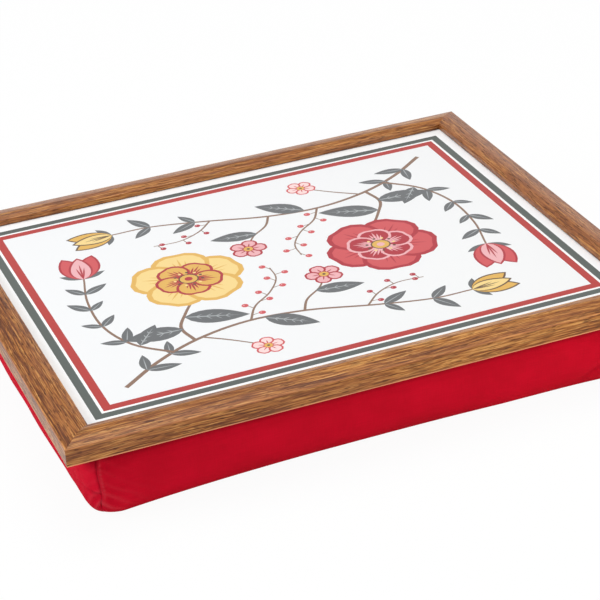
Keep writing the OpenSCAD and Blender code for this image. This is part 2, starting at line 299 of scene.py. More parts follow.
def model_rail(name, half, reach, turn):
    """One rail, modelled along X with its outer side on y = 0, then turned to its side of the tray."""
    deselect()
    middle = (0, rebate_wall / 2, crest_height / 2)
    bpy.ops.mesh.primitive_cube_add(size=1, location=middle, scale=(2 * half, rebate_wall, crest_height))
    bpy.ops.object.transform_apply(location=True, rotation=True, scale=True)
    rail = bpy.context.object
    rail.name = rail.data.name = name
    bpy.ops.object.mode_set(mode="EDIT")
    cut((0, 0, rebate_height), (0, 0, 1))
    pick("FACE", lambda f: f.normal.y > 0.9 and f.calc_center_median().z > rebate_height)
    bpy.ops.mesh.extrude_region_move(TRANSFORM_OT_translate={"value": (0, LIP_WIDTH, 0)})
    cut((0, CREST_INSET, 0), (0, 1, 0))
    wall_drop = SIGHT_DROP * (rebate_wall - CREST_INSET) / (RAIL_WIDTH - CREST_INSET)
    for inset, drop in ((0, CREST_RISE), (rebate_wall, wall_drop), (RAIL_WIDTH, SIGHT_DROP)):
        pick("VERT", lambda v: near(v.co.y, inset) and near(v.co.z, crest_height))
        bpy.ops.transform.translate(value=(0, 0, -drop))
    cut((0, 0, FOOT_BAND), (0, 0, 1))
    cut((0, FOOT_BAND, 0), (0, 1, 0))
    cut((0, 0, rebate_height + LIP_SHADE_REACH), (0, 0, 1))
    slope = math.atan(CREST_RISE / CREST_INSET)
    inner_slope = math.atan(SIGHT_DROP / (RAIL_WIDTH - CREST_INSET))
    edges = (
        (0, RAIL_SIDE_HEIGHT, OUTER_EDGE_RADIUS, math.pi / 2 - slope),
        (CREST_INSET, crest_height, CREST_RADIUS, slope + inner_slope),
        (RAIL_WIDTH, crest_height - SIGHT_DROP, SIGHT_EDGE_RADIUS, math.pi / 2 - inner_slope),
        (RAIL_WIDTH, rebate_height, LIP_FOOT_RADIUS, math.pi / 2),
        (0, 0, FOOT_EDGE_RADIUS, math.pi / 2),
    )
    for inset, height, radius, angle in edges:
        pick("EDGE", lambda e: runs_along(e, inset, height))
        bpy.ops.mesh.bevel(offset=radius * math.tan(angle / 2), segments=8, affect="EDGES")
    for end in (-1, 1):
        bpy.ops.mesh.select_mode(type="VERT")
        tip = Vector((end * half, 0, 0))
        mitre = Vector((end, 1, 0)).normalized()
        cut(tip, mitre, use_fill=True, clear_outer=True)
        pick("EDGE", lambda e: all(near((v.co - tip).dot(mitre), 0) for v in e.verts))
        bpy.ops.mesh.bevel(offset=MITRE_CHAMFER, segments=1, affect="EDGES")
    bpy.ops.mesh.select_all(action="SELECT")
    bpy.ops.mesh.normals_make_consistent(inside=False)
    bpy.ops.object.mode_set(mode="OBJECT")
    # A painted highlight along the outer top edge and the foot
    worn = rail.data.attributes.new("worn", "FLOAT", "POINT").data
    grime = rail.data.attributes.new("grime", "FLOAT", "POINT").data
    for vertex in rail.data.vertices:
        # A painted shade up the wood from the lip's foot
        gap = math.hypot(vertex.co.y - RAIL_WIDTH, vertex.co.z - rebate_height)
        grime[vertex.index].value = max(0, 1 - gap / LIP_SHADE_REACH)
        for height, bare, rubbed, share in HIGHLIGHT_EDGES:
            gap = math.hypot(vertex.co.y, vertex.co.z - height)
            worn[vertex.index].value += share * max(0, min(1, (rubbed - gap) / (rubbed - bare)))
    rail.location = Matrix.Rotation(turn, 3, "Z") @ Vector((0, -reach, 0)) + Vector((0, 0, frame_base))
    rail.rotation_euler.z = turn
    bpy.ops.object.transform_apply(location=True, rotation=True, scale=True)
    bpy.ops.object.shade_smooth_by_angle(angle=math.radians(25))
    return rail


RAIL_TURNS = {"front": 0, "right": 90, "back": 180, "left": 270}
# How dark each rail is, and how far its figure is evened out: partly the planks' own colouring, and partly
# painted shade and sheen for how the light falls on each side
RAIL_LOOKS = {"front": (-0.005, 0), "right": (-0.055, 0.35), "back": (-0.005, 0.2), "left": (-0.055, 0)}
for place, (side, degrees) in enumerate(RAIL_TURNS.items()):
    turn = math.radians(degrees)
    lies_along = degrees % 180 == 0
    half = (tray_length if lies_along else tray_depth) / 2
    reach = (tray_depth if lies_along else tray_length) / 2
    rail = model_rail(f"{side}_moulding", half, reach, turn)
    start = (0.7 * place, 0.31 * place, 0.17 * place)
    wood = material(f"{side} rail timber", timber, turn, start, *RAIL_LOOKS[side])
    rail.data.materials.append(wood)
    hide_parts(f"{side}_rail")
    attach(rail, "root")


# The corner nails: right-angled strips of zinc-plated spring steel. Two are pressed up across each mitre
# from below, and hold the joint shut while its glue sets.
def steel(paint, bright, dull, roughness):
    """Bare steel strip or wire with fine drawing marks and a little staining."""
    place = paint.place()
    drawn = paint.blotches(place, 0.0006, 0.0006, 0.012)
    stain_and_sheen = paint.blotches(place, 0.004, detail=3.0)
    return dict(
        Base_Color=stain_and_sheen.between(0.35, 0.7).tint(bright, dull),
        Metallic=1.0,
        Roughness=roughness + stain_and_sheen * 0.2,
        Normal=paint.relief(drawn, 0.00003),
    )


def finish_node(node, finish):
    """Gives one of the frame's own solids its finish."""
    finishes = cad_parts[node].data.materials
    finishes.clear()
    finishes.append(finish)


nail_steel = material("zinc-plated nail steel", steel, srgb(200, 203, 208), srgb(150, 154, 160), 0.3)
finish_node("corner_nails", nail_steel)


# The board: a fibreboard core faced with a white laminate and backed with a plain sheet, which sits in the
# frame's rebate. Two stripes and two sprays of flowers are printed in flat inks under the laminate's face.
SHEET_LOW, SHEET_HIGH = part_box("printed_laminate")
INKS = {
    "white": srgb(250, 250, 250),
    "paper": srgb(240, 240, 241),
    "red": srgb(182, 54, 50),
    "grey": srgb(88, 95, 91),
    "crimson": srgb(176, 42, 56),
    "rose": srgb(208, 84, 88),
    "pink": srgb(236, 178, 182),
    "blush": srgb(248, 216, 214),
    "mustard": srgb(226, 178, 88),
    "straw": srgb(243, 212, 140),
    "slate": srgb(104, 106, 108),
    "mist": srgb(176, 180, 182),
    "stem": srgb(140, 110, 92),
    "umber": srgb(98, 74, 56),
}
# The sheet and its two stripes from the outside in, each a rectangle printed over the last, in millimetres.
BORDER = (
    ("white", 408, 333),
    ("grey", 380.8, 301.2),
    ("white", 368.8, 289.2),
    ("red", 364.8, 285.0),
    ("paper", 352.6, 272.4),
)
# How near each other two corners of the print merge, in millimetres
PRINT_MERGE = 0.0005
printed = []


def towards(degrees):
    """The direction that many degrees round."""
    angle = math.radians(degrees)
    return Vector((math.cos(angle), math.sin(angle)))


def press(ink, outline, place=(0, 0), turn=0.0):
    """Prints a flat shape over those before it: an outline in millimetres, turned by degrees and placed."""
    along = towards(turn)
    across = Vector((-along.y, along.x))
    points = [Vector(place) + along * x + across * y for x, y in outline]
    if sum(a.cross(b) for a, b in zip(points, points[1:] + points[:1])) < 0:
        points.reverse()
    printed.append((ink, points))


def disc(radius, steps=12):
    turns = [math.tau * k / steps for k in range(steps)]
    return [(radius * math.cos(turn), radius * math.sin(turn)) for turn in turns]


def blade(length, width, fullest=0.45, round_off=1.0, steps=9):
    """A leaf or petal that runs along X from its stalk to its tip, fullest at a share of its length."""
    power = math.log(0.5) / math.log(fullest)
    shares = [k / steps for k in range(steps + 1)]
    side = [(t, math.sin(math.pi * t**power) ** round_off * width / 2) for t in shares]
    upper = [(length * t, y) for t, y in side]
    lower = [(length * t, -y) for t, y in reversed(side[1:-1])]
    return upper + lower


def lobe(reach, length, width, notch=0.0, steps=16):
    """A round petal about a point on X, with a shallow notch in its outer edge."""
    outline = []
    for k in range(steps):
        angle = math.tau * k / steps
        off = (angle + math.pi) % math.tau - math.pi
        dip = 1 - notch * math.exp(-((off / 0.38) ** 2))
        outline.append((reach + length / 2 * dip * math.cos(angle), width / 2 * dip * math.sin(angle)))
    return outline


def curve(points, steps=6):
    """Points along a smooth line through the given ones."""
    ends = [2 * points[0] - points[1], *points, 2 * points[-1] - points[-2]]
    line = []
    for a, b, c, d in zip(ends, ends[1:], ends[2:], ends[3:]):
        for k in range(steps):
            t = k / steps
            bend = 2 * b + (c - a) * t + (2 * a - 5 * b + 4 * c - d) * t**2
            line.append(0.5 * (bend + (3 * b - a - 3 * c + d) * t**3))
    return [*line, points[-1]]


def stroke(points, wide, thin):
    """A stem along a smooth line, which tapers from one width to another. Returns its line."""
    line = curve([Vector(p) for p in points])
    left, right = [], []
    for k, point in enumerate(line):
        ahead = (line[min(k + 1, len(line) - 1)] - line[max(k - 1, 0)]).normalized()
        half = (wide + (thin - wide) * k / (len(line) - 1)) / 2
        side = Vector((-ahead.y, ahead.x)) * half
        left.append(point + side)
        right.append(point - side)
    press("stem", left + right[::-1])
    return line


def leaf(place, turn, length, width, veins=0):
    """A pointed leaf with a pale midrib and, on the larger ones, pairs of veins."""
    press("slate", blade(length, width, 0.42, 0.9), place, turn)
    press("mist", blade(length * 0.86, width * 0.045 + 0.35, 0.3), place, turn)
    for k in range(veins):
        share = 0.18 + 0.6 * k / veins
        start = Vector(place) + towards(turn) * length * share
        reach = width * 0.34 * math.sin(math.pi * (share + 0.12))
        for side in (-1, 1):
            press("mist", blade(reach, 0.7, 0.35, steps=4), start, turn + side * 42)


def leaflets(line, shares, length, width):
    """Pairs of small leaves at shares of a stem's line."""
    for k, share in enumerate(shares):
        at = share * (len(line) - 1)
        point = line[int(at)]
        ahead = line[min(int(at) + 1, len(line) - 1)] - line[max(int(at) - 1, 0)]
        heading = math.degrees(math.atan2(ahead.y, ahead.x))
        for side in (-1, 1):
            size = 1 - 0.12 * ((k + (side > 0)) % 3)
            leaf(point, heading + side * (44 + 6 * (k % 2)), length * size, width * size)


def rose(place, turn, size, edge, fill, core):
    """A double dog rose: five notched petals, five smaller ones between them and a ring of stamens."""
    for ring, (reach, girth) in enumerate(((0.27, 0.46), (0.165, 0.27))):
        shades = ((edge, fill), (core, edge))[ring]
        for k in range(5):
            heading = turn + 72 * k + 36 * ring
            press(shades[0], lobe(reach * size, girth * size, girth * size * 1.08, 0.14), place, heading)
            inner = lobe(reach * size * 0.97, girth * size * 0.84, girth * size * 0.9, 0.14)
            press(shades[1], inner, place, heading)
            for spread in (-24, -12, 0, 12, 24):
                length = (reach + girth * 0.26) * size * (1 - abs(spread) / 90)
                press(shades[0], blade(length, size * 0.018, 0.6, steps=5), place, heading + spread * 0.8)
    press("umber", disc(size * 0.085, 16), place)
    press("mustard", disc(size * 0.073, 16), place)
    for k in range(11):
        angle = math.radians(turn) + math.tau * k / 11
        out = Vector((math.cos(angle), math.sin(angle))) * size * 0.115
        press("straw" if k % 2 else "umber", disc(size * 0.014, 8), Vector(place) + out)
    press(core, disc(size * 0.034), place)


def bloom(place, turn, size, edge, fill):
    """A small single flower with five round petals."""
    for k in range(5):
        heading = turn + 72 * k
        press(edge, lobe(size * 0.28, size * 0.42, size * 0.42, 0.1, 12), place, heading)
        press(fill, lobe(size * 0.28, size * 0.31, size * 0.31, 0.1, 12), place, heading)
        press(edge, blade(size * 0.3, size * 0.04, 0.6, steps=4), place, heading)
    press("mustard", disc(size * 0.12), place)
    press("umber", disc(size * 0.045, 8), place)


def tulip(place, turn, size, edge, fill, light):
    """A closed cup of three petals that stands on two sepals."""
    for side in (-1, 1):
        press("slate", blade(size * 0.5, size * 0.16, 0.5), place, turn + side * 62)
        heading = turn + side * 17
        press(edge, blade(size * 1.02, size * 0.5, 0.46, 0.8), place, heading)
        press(fill, blade(size * 0.96, size * 0.42, 0.46, 0.8), place, heading)
    press(edge, blade(size * 0.94, size * 0.46, 0.42, 0.75), place, turn)
    press(light, blade(size * 0.88, size * 0.38, 0.42, 0.75), place, turn)
    for spread in (-9, 0, 9):
        length = size * (0.66 - abs(spread) / 60)
        press(edge, blade(length, size * 0.035, 0.5, steps=5), place, turn + spread)


def berries(line, ink, size):
    """Round berries on short stalks, to either side of a thin stem."""
    for k, point in enumerate(line[2::3]):
        ahead = (line[3] - line[2]).normalized()
        side = Vector((-ahead.y, ahead.x)) * (1 if k % 2 else -1)
        tip = point + side * size * 1.3 + ahead * size * 0.8
        stroke([point, (point + tip) / 2 + ahead * 0.6, tip], 0.8, 0.6)
        press(ink, disc(size * 0.5, 10), tip)
        press("pink", disc(size * 0.13, 6), tip + Vector((-0.12, 0.14)) * size)


# Each large leaf: where its stalk starts, which way it points, its length and width, and its pairs of veins
LARGE_LEAVES = (
    (-100, -62, 176, 42, 19, 4),
    (-94, -46, -22, 46, 20, 4),
    (-44, -73, -38, 40, 17, 4),
    (2, -53, -8, 36, 15, 3),
    (-134, -70, 52, 30, 13, 3),
)


def spray(facing, edge, fill, core):
    """One stem with its flowers. Facing 1 it rises from the front left, and -1 from the back right."""

    def at(*places):
        return [(facing * x, facing * y) for x, y in places]

    lean = 0 if facing > 0 else 180
    rise = at((-160, -120), (-130, -97), (-96, -80), (-56, -72))
    fall = at((-14, -77), (30, -92), (70, -103), (100, -104))
    line = stroke(rise + fall, 3.4, 1.6)
    leaflets(line, (0.1, 0.2, 0.74, 0.86), 24, 9)
    left = stroke(at((-116, -90), (-138, -66), (-149, -32), (-148, 8), (-140, 44)), 2.6, 1.4)
    leaflets(left, (0.3, 0.5, 0.68, 0.86), 21, 8)
    stroke(at((-98, -80), (-101, -60), (-92, -42), (-80, -24)), 2.8, 2.0)
    stroke(at((-92, -79), (-76, -92), (-60, -107)), 1.8, 1.2)
    stroke(at((-16, -77), (-8, -62), (6, -50), (14, -38)), 2.0, 1.3)
    sprig = stroke(at((-54, -72), (-44, -54), (-28, -40), (-16, -22), (-14, -4)), 1.8, 0.9)
    outer = stroke(at((26, -91), (40, -77), (58, -69), (78, -70)), 1.6, 0.9)
    for x, y, turn, *form in LARGE_LEAVES:
        leaf((facing * x, facing * y), lean + turn, *form)
    berries(sprig, "rose", 5.2)
    berries(outer, "crimson", 4.6)
    rose_at, low_at, inner_at, tip, top = at((-72, 8), (-56, -111), (17, -32), (100, -104), (-140, 44))
    rose(rose_at, lean + 14, 88, edge, fill, core)
    bloom(low_at, lean + 8, 25, "rose", "blush")
    bloom(inner_at, lean + 30, 30, "crimson", "pink")
    tulip(tip, lean + 4, 34, "umber", "mustard", "straw")
    tulip(top, lean + 82, 38, "crimson", "rose", "pink")


for ink, length, depth in BORDER:
    press(ink, [(x * length / 2, y * depth / 2) for x, y in ((-1, -1), (1, -1), (1, 1), (-1, 1))])
spray(1, "mustard", "straw", "crimson")
spray(-1, "crimson", "rose", "pink")


def model_print():
    """The laminate sheet: its top is parted along the edges of the inks, and its edge and back are plain."""
    corners, faces = [], []
    for ink, points in printed:
        faces.append(list(range(len(corners), len(corners) + len(points))))
        corners.extend(points)
    parted = geometry.delaunay_2d_cdt(corners, [], faces, 1, PRINT_MERGE)
    top = [(x / 1000, y / 1000, SHEET_HIGH.z) for x, y in parted[0]]
    sheet = mesh_object("printed_sheet", top, parted[2])
    names = list(INKS)
    uppermost = [names.index(printed[max(covering)][0]) for covering in parted[5]]
    sheet.data.polygons.foreach_set("material_index", uppermost)
    work_on(sheet)
    bpy.ops.object.mode_set(mode="EDIT")
    pick("EDGE", lambda e: e.is_boundary)
    thickness = SHEET_HIGH.z - SHEET_LOW.z
    bpy.ops.mesh.extrude_edges_move(TRANSFORM_OT_translate={"value": (0, 0, -thickness)})
    bpy.ops.mesh.edge_face_add()
    bpy.ops.object.mode_set(mode="OBJECT")
    return sheet


def laminate(paint, ink):
    """Satin melamine over one ink, with a faint orange peel."""
    place = paint.place()
    peel = paint.blotches(place, 0.0024, detail=1.0)
    smear = paint.blotches(place, 0.06, 0.04)
    return dict(Base_Color=ink, Roughness=0.27 + smear * 0.1, Normal=paint.relief(peel, 0.000012))


sheet = model_print()
for name, ink in INKS.items():
    sheet.data.materials.append(material(f"laminate {name}", laminate, ink))
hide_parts("printed_laminate")
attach(sheet, "root")


# The board's core: a sheet of medium-density fibreboard, sawn to fit the frame's rebate. The laminate is
# pressed on its face, and its sawn edges stay bare.
def pressed_board(paint, flecks, clouds, detail, share, tones, colours, roughness, shine, relief):
    """Pressed fibre, with fine flecks of this share in soft clouds, and a dusty face."""
    place = paint.place()
    fleck = paint.blotches(place, *flecks, detail=detail, rough=0.7)
    shade = fleck * share + paint.blotches(place, *clouds) * (1 - share)
    return dict(
        Base_Color=shade.between(*tones).tint(*colours),
        Roughness=roughness[0] + fleck * roughness[1],
        Specular_IOR_Level=shine,
        Normal=paint.relief(fleck, relief),
    )


fibreboard = material(
    "fibreboard",
    pressed_board,
    flecks=[0.0012, 0.0012, 0.0004],
    clouds=[0.03, 0.03, 0.01],
    detail=4.0,
    share=0.7,
    tones=(0.35, 0.68),
    colours=(srgb(150, 112, 74), srgb(196, 158, 112)),
    roughness=(0.8, 0.15),
    shine=0.3,
    relief=0.00012,
)
finish_node("board_core", fibreboard)


# The balancing sheet: plain resin-filled paper, pressed on the core's back with the same glue as the
# laminate, so that the board stays flat.
def resin_paper(paint):
    """Tan resin-filled paper with a cloudy formation and a dull shine."""
    place = paint.place()
    cloud = paint.blotches(place, 0.008, detail=4.0)
    fibre = paint.blotches(place, 0.002, 0.0004)
    return dict(
        Base_Color=cloud.between(0.35, 0.65).tint(srgb(204, 190, 166), srgb(222, 211, 192)),
        Roughness=0.5 + cloud * 0.15,
        Normal=paint.relief(fibre, 0.00002),
    )


finish_node("balancing_sheet", material("tan resin paper", resin_paper))


# The framing points: flat zinc-plated steel darts, which hold the board in the frame. They are driven into
# the rebate's wall, flat against the board's back.
point_steel = material("zinc-plated points", steel, srgb(206, 210, 214), srgb(166, 170, 172), 0.34)
finish_node("framing_points", point_steel)


# The hem tape: a dark red herringbone cotton tape, folded over the cover's raw top edge and sewn. It lies
# flat under the rails, between them and the tack strips.
# How fast the tape's ribs rise and fall, in radians per metre
RIB_TURNS = 5200.0


def webbing(paint):
    """Herringbone cotton tape, woven in ribs."""
    place = paint.place()
    along, across = place.across()
    ribs = paint.sum("SINE", (along + across) * RIB_TURNS, 0.0) * 0.5 + 0.5
    slub = paint.blotches(place, 0.003, detail=3.0)
    shade = ribs * 0.4 + slub * 0.6
    return dict(
        Base_Color=shade.between(0.3, 0.75).tint(srgb(122, 10, 30), srgb(160, 22, 44)),
        Roughness=0.85 + slub * 0.1,
        Specular_IOR_Level=0.2,
        Normal=paint.relief(shade, 0.0002),
    )


finish_node("hem_tape", material("red herringbone tape", webbing))


# The tack strips: strips of hard grey-brown upholstery board, one under each rail. They spread the staples'
# hold along the tape, so that the cover hangs evenly.
grey_board = material(
    "grey strip board",
    pressed_board,
    flecks=[0.0009],
    clouds=[0.02],
    detail=3.0,
    share=0.75,
    tones=(0.32, 0.68),
    colours=(srgb(92, 78, 64), srgb(142, 126, 106)),
    roughness=(0.82, 0.12),
    shine=0.25,
    relief=0.00006,
)
for side in RAIL_TURNS:
    finish_node(f"{side}_tack_strip", grey_board)


# The staples: bent from galvanised square wire. Each is shot up through a tack strip and the tape into the
# rail, until its crown lies on the strip.
staple_wire = material("galvanised staple wire", steel, srgb(198, 202, 206), srgb(150, 154, 158), 0.3)
finish_node("strip_staples", staple_wire)


# The cushion's cover: one cloth of plain-woven cotton. Its four corners are sewn into upright seams, its
# neck is drawn in under the frame, and the filling swells its sides and rolls its edge round to the flat
# bottom.
COVER_TOP = 0.0004
NECK_INSET = 0.0135
NECK_HEIGHT = 0.0031
SWELL_HEIGHT = 0.014
# For the ends, then for the front and back: how far in the corners and the middle lie, and the foot's lean
SIDES = ((0.0104, 0.0085, 0.0059), (0.0076, 0.0122, -0.0013))
END_TUCK = 0.0091
END_TUCK_REACH = 0.0257
FRONT_TUCK_REACH = 0.010
FOOT_RADIUS = 0.0133
FOOT_SEAM_SHARE = 0.55
CORNER_ROLL = 0.014
MIDDLE_ROLL = 0.023
RIGHT_SLUMP = 0.0042
SLUMP_ALONG = (0.08, 0.19)
SLUMP_FORWARD = (0, 0.15)
FOOT_TURN = (0.028, 0.050)
TUCK_POWER = 2.2
BOW_POWER = 2.5
GROUND_CUT = 0.0005
CLOTH_THICKNESS = 0.0008
STRIP_REACH = 0.0132
STRIP_DROP = 0.0033
CORNER_COLUMNS = 30
SEAM_TURN = 20
SEAM_CROWDING = 0.35
LONG_COLUMNS = 140
SHORT_COLUMNS = 112
SIDE_ROWS = 46
BOTTOM_SHARES = (0.03, 0.07, 0.13, 0.22, 0.34, 0.5, 0.7, 0.9)
PANEL_HEADINGS = (-90, 0, 90, 180)
CORNER_SIGNS = ((1, -1), (1, 1), (-1, 1), (-1, -1))


def roll(depth, radius):
    """How far an edge rolled to this radius has turned in at a depth below the frame."""
    up = max(0, 1 - (frame_base + GROUND_CUT - depth) / radius)
    return radius * (1 - math.sqrt(1 - up * up))


def fade(value, start, end):
    """0 up to the start, 1 from the end, smooth between them."""
    share = max(0, min(1, (value - start) / (end - start)))
    return share * share * (3 - 2 * share)


def cover_columns():
    """The upright lines of the cover's mesh, counter-clockwise from the front of the right front corner."""
    columns = []
    for corner in range(4):
        seam = CORNER_COLUMNS - SEAM_TURN if corner % 2 == 0 else SEAM_TURN
        for step in range(CORNER_COLUMNS + 1):
            panel = corner if step < seam else (corner + 1) % 4
            turn = (step if corner % 2 else CORNER_COLUMNS - step) / SEAM_TURN - 1
            columns.append({"corner": corner, "turn": turn, "panel": panel, "seam": step == seam})
        count = SHORT_COLUMNS if corner % 2 == 0 else LONG_COLUMNS
        panel = (corner + 1) % 4
        for step in range(1, count):
            columns.append({"corner": corner, "share": step / count, "panel": panel, "seam": False})
    return columns


def corner_insets(turn, foot):
    """How far in from the end and from the front a corner's line lies. Turn runs from -1 on the end through
    0 at the seam. Above, the end panel tucks in to a fold at the seam, and below the corner turns round."""
    last = (CORNER_COLUMNS - SEAM_TURN) / SEAM_TURN
    gap = abs(turn) / (1 if turn < 0 else last)
    gap *= SEAM_CROWDING + (1 - SEAM_CROWDING) * gap
    if turn < 0:
        folded = Vector((END_TUCK * (1 - gap) ** TUCK_POWER, END_TUCK_REACH * gap))
        share = FOOT_SEAM_SHARE * (1 - gap)
    else:
        folded = Vector((END_TUCK + FRONT_TUCK_REACH * gap, 0))
        share = FOOT_SEAM_SHARE + (1 - FOOT_SEAM_SHARE) * gap
    angle = math.pi / 2 * share
    rounded = Vector((1 - math.cos(angle), 1 - math.sin(angle))) * FOOT_RADIUS
    return folded.lerp(rounded, foot)


def cover_ring(columns, depth):
    """The cover's outline at a depth below the frame."""
    share = (depth - COVER_TOP) / (frame_base - COVER_TOP)
    pinch = max(0, 1 - max(0, depth - NECK_HEIGHT) / SWELL_HEIGHT) ** 2
    swell = math.sin(math.pi * share) * (1 - pinch)
    halves, bows = [], []
    for reach, (corner, middle, lean) in zip((tray_length, tray_depth), SIDES):
        leaned = roll(depth, CORNER_ROLL) + lean * share**2
        halves.append(reach / 2 - (corner + (NECK_INSET - corner) * pinch + leaned))
        bows.append((middle - corner) * swell + roll(depth, MIDDLE_ROLL) - leaned)
    foot = fade(depth, *FOOT_TURN)
    x, y = halves
    straight = Vector((x - corner_insets(0.5, foot).x, y - corner_insets(-1, foot).y))
    ring = []
    for column in columns:
        sx, sy = CORNER_SIGNS[column["corner"]]
        if "turn" in column:
            insets = corner_insets(column["turn"], foot)
            point = Vector((sx * (x - insets.x), sy * (y - insets.y)))
        else:
            along = 2 * column["share"] - 1
            bow = 1 - abs(along) ** BOW_POWER
            if column["corner"] % 2 == 0:
                point = Vector((sx * (x - bows[0] * bow), sx * along * straight.y))
            else:
                point = Vector((-sy * along * straight.x, sy * (y - bows[1] * bow)))
        point.y += RIGHT_SLUMP * fade(point.x, *SLUMP_ALONG) * fade(-point.y, *SLUMP_FORWARD) * foot
        ring.append(Vector((*point, frame_base - depth)))
    return ring


def cover_rows(columns):
    """The cover's rings, from its neck down to the ground and then in across its flat bottom."""
    depths = [COVER_TOP, 0.0018]
    for step in range(SIDE_ROWS + 1):
        share = 0.5 * step / SIDE_ROWS + 0.25 * (1 - math.cos(math.pi * step / SIDE_ROWS))
        depths.append(NECK_HEIGHT + (frame_base - NECK_HEIGHT) * share)
    rows = [cover_ring(columns, depth) for depth in depths]
    spine = (tray_length - tray_depth) / 2
    for share in BOTTOM_SHARES:
        inward = []
        for point in rows[len(depths) - 1]:
            target = Vector((max(-spine, min(spine, point.x)), 0, 0))
            inward.append(point.lerp(target, share))
        rows.append(inward)
    return depths, rows


def cover_cut(columns, depths, rows):
    """Where each corner of each face lay on the flat cloth, in metres, so that the weave follows it."""
    girth = [0.0]
    middle = rows[len(depths) // 2]
    for k, point in enumerate(middle):
        girth.append(girth[-1] + (middle[(k + 1) % len(middle)] - point).length)
    total = girth[-1]
    seams = [k for k, column in enumerate(columns) if column["seam"]]
    centres = []
    for panel in range(4):
        first, last = girth[seams[panel - 1]], girth[seams[panel]]
        centres.append((first + last + (total if last < first else 0)) / 2 % total)

    def on_cloth(row, k, panel):
        along = (girth[k] - centres[panel] + total / 2) % total - total / 2
        up = sum((rows[r][k] - rows[r + 1][k]).length for r in range(row, len(depths) - 1))
        heading = math.radians(PANEL_HEADINGS[panel])
        out = (tray_length if panel % 2 else tray_depth) / 2 + up
        return (
            out * math.cos(heading) - along * math.sin(heading),
            out * math.sin(heading) + along * math.cos(heading),
        )

    return girth, seams, on_cloth


def model_cover():
    """The cover as sewn, before the filling swells it, with the weave's map."""
    columns = cover_columns()
    depths, rows = cover_rows(columns)
    girth, seams, on_cloth = cover_cut(columns, depths, rows)
    count = len(columns)
    corners = [tuple(point) for row in rows for point in row]
    faces, cloth = [], []
    for row in range(len(rows) - 1):
        flat = row >= len(depths) - 1
        for k in range(count):
            after = (k + 1) % count
            here, below = row * count, (row + 1) * count
            faces.append((here + k, below + k, below + after, here + after))
            panel = columns[k]["panel"]
            ends = ((row, k), (row + 1, k), (row + 1, k + 1), (row, k + 1))
            for r, c in ends:
                point = rows[r][c % count]
                cloth.extend((point.x, point.y) if flat else on_cloth(r, c % count, panel))
    last = (len(rows) - 1) * count
    faces.append(tuple(last + k for k in reversed(range(count))))
    for k in reversed(range(count)):
        cloth.extend((rows[-1][k].x, rows[-1][k].y))
    cover = mesh_object("cover", corners, faces)
    cover.data.uv_layers.new(name="cloth").data.foreach_set("uv", cloth)
    return cover, columns, depths, rows, girth, seams


def from_seam(columns, girth, seams):
    """How far round the cover each column is from the nearest seam, positive towards the long sides."""
    total = girth[-1]
    distances = []
    for k in range(len(columns)):
        found = []
        for corner, seam in enumerate(seams):
            gap = (girth[k] - girth[seam] + total / 2) % total - total / 2
            found.append(gap if corner % 2 else -gap)
        distances.append(min(found, key=abs))
    return distances


SWELL_CAP = 0.002
CORNER_SKIP = 5
SIDE_SKIP = 2
ROW_SKIP = 4
HELD_ROWS = 3
HELD_NECK = (0.0045, 0.010)
HELD_FOOT = 0.004
SEWN_SPREAD = 0.005
SWELL_STEPS = 20
SWELL_CLOTH = {
    "quality": 5,
    "mass": 0.3,
    "tension_stiffness": 20,
    "compression_stiffness": 20,
    "shear_stiffness": 8,
    "bending_stiffness": 1,
    "use_pressure": True,
    "uniform_pressure_force": 4,
    "vertex_group_mass": "held",
    "vertex_group_shrink": "sewn",
    "shrink_min": 0.0,
    "shrink_max": 0.012,
}


def swell_cover(columns, depths, rows, distances):
    """Swells a coarser copy of the cover's side with a cloth simulation, its neck and foot held, and caps
    and smooths how far each point of the cover moves with it."""
    picked, step = [], 0
    for k, column in enumerate(columns):
        at_corner = "turn" in column
        step = 0 if at_corner and (k == 0 or "turn" not in columns[k - 1]) else step + 1
        over = step % CORNER_SKIP if at_corner else (step - CORNER_COLUMNS) % SIDE_SKIP
        if over == 0:
            picked.append(k)
    levels = [*range(0, len(depths), ROW_SKIP), *range(len(depths), len(depths) + HELD_ROWS)]
    wide = len(picked)
    corners = [tuple(rows[level][k]) for level in levels for k in picked]
    faces = [
        (a * wide + b, (a + 1) * wide + b, (a + 1) * wide + (b + 1) % wide, a * wide + (b + 1) % wide)
        for a in range(len(levels) - 1)
        for b in range(wide)
    ]
    side = mesh_object("swelling", corners, faces)
    held = side.vertex_groups.new(name="held")
    sewn = side.vertex_groups.new(name="sewn")
    for index in range(len(corners)):
        level, k = levels[index // wide], picked[index % wide]
        depth = depths[min(level, len(depths) - 1)]
        hold = max(1 - fade(depth, *HELD_NECK), fade(depth, frame_base - HELD_FOOT, frame_base))
        held.add([index], hold, "REPLACE")
        sewn.add([index], math.exp(-abs(distances[k]) / SEWN_SPREAD), "REPLACE")
    work_on(side)
    cloth = side.modifiers.new("cloth", "CLOTH")
    for name, value in SWELL_CLOTH.items():
        setattr(cloth.settings, name, value)
    cloth.settings.effector_weights.gravity = 0
    for step in range(1, SWELL_STEPS + 1):
        bpy.context.scene.frame_set(step)
    bpy.ops.object.modifier_apply(modifier=cloth.name)
    bpy.context.scene.frame_set(1)
    moves = np.array([v.co - Vector(at) for v, at in zip(side.data.vertices, corners)])
    bpy.data.objects.remove(side)
    lengths = np.linalg.norm(moves, axis=1, keepdims=True)
    moves *= np.minimum(1, SWELL_CAP / np.maximum(lengths, 1e-9))
    moves = moves.reshape(len(levels), wide, 3)
    places = [*picked, picked[0] + len(columns)]

    def round_row(line):
        return np.interp(range(len(columns)), places, [*line, line[0]])

    def down_column(line):
        return np.interp(range(len(rows)), levels, line, right=0)

    whole = np.apply_along_axis(down_column, 0, np.apply_along_axis(round_row, 1, moves))
    for _ in range(2):
        whole = (np.roll(whole, 1, 1) + 2 * whole + np.roll(whole, -1, 1)) / 4
        whole[1:-1] = (whole[:-2] + 2 * whole[1:-1] + whole[2:]) / 4
    return whole.reshape(-1, 3)


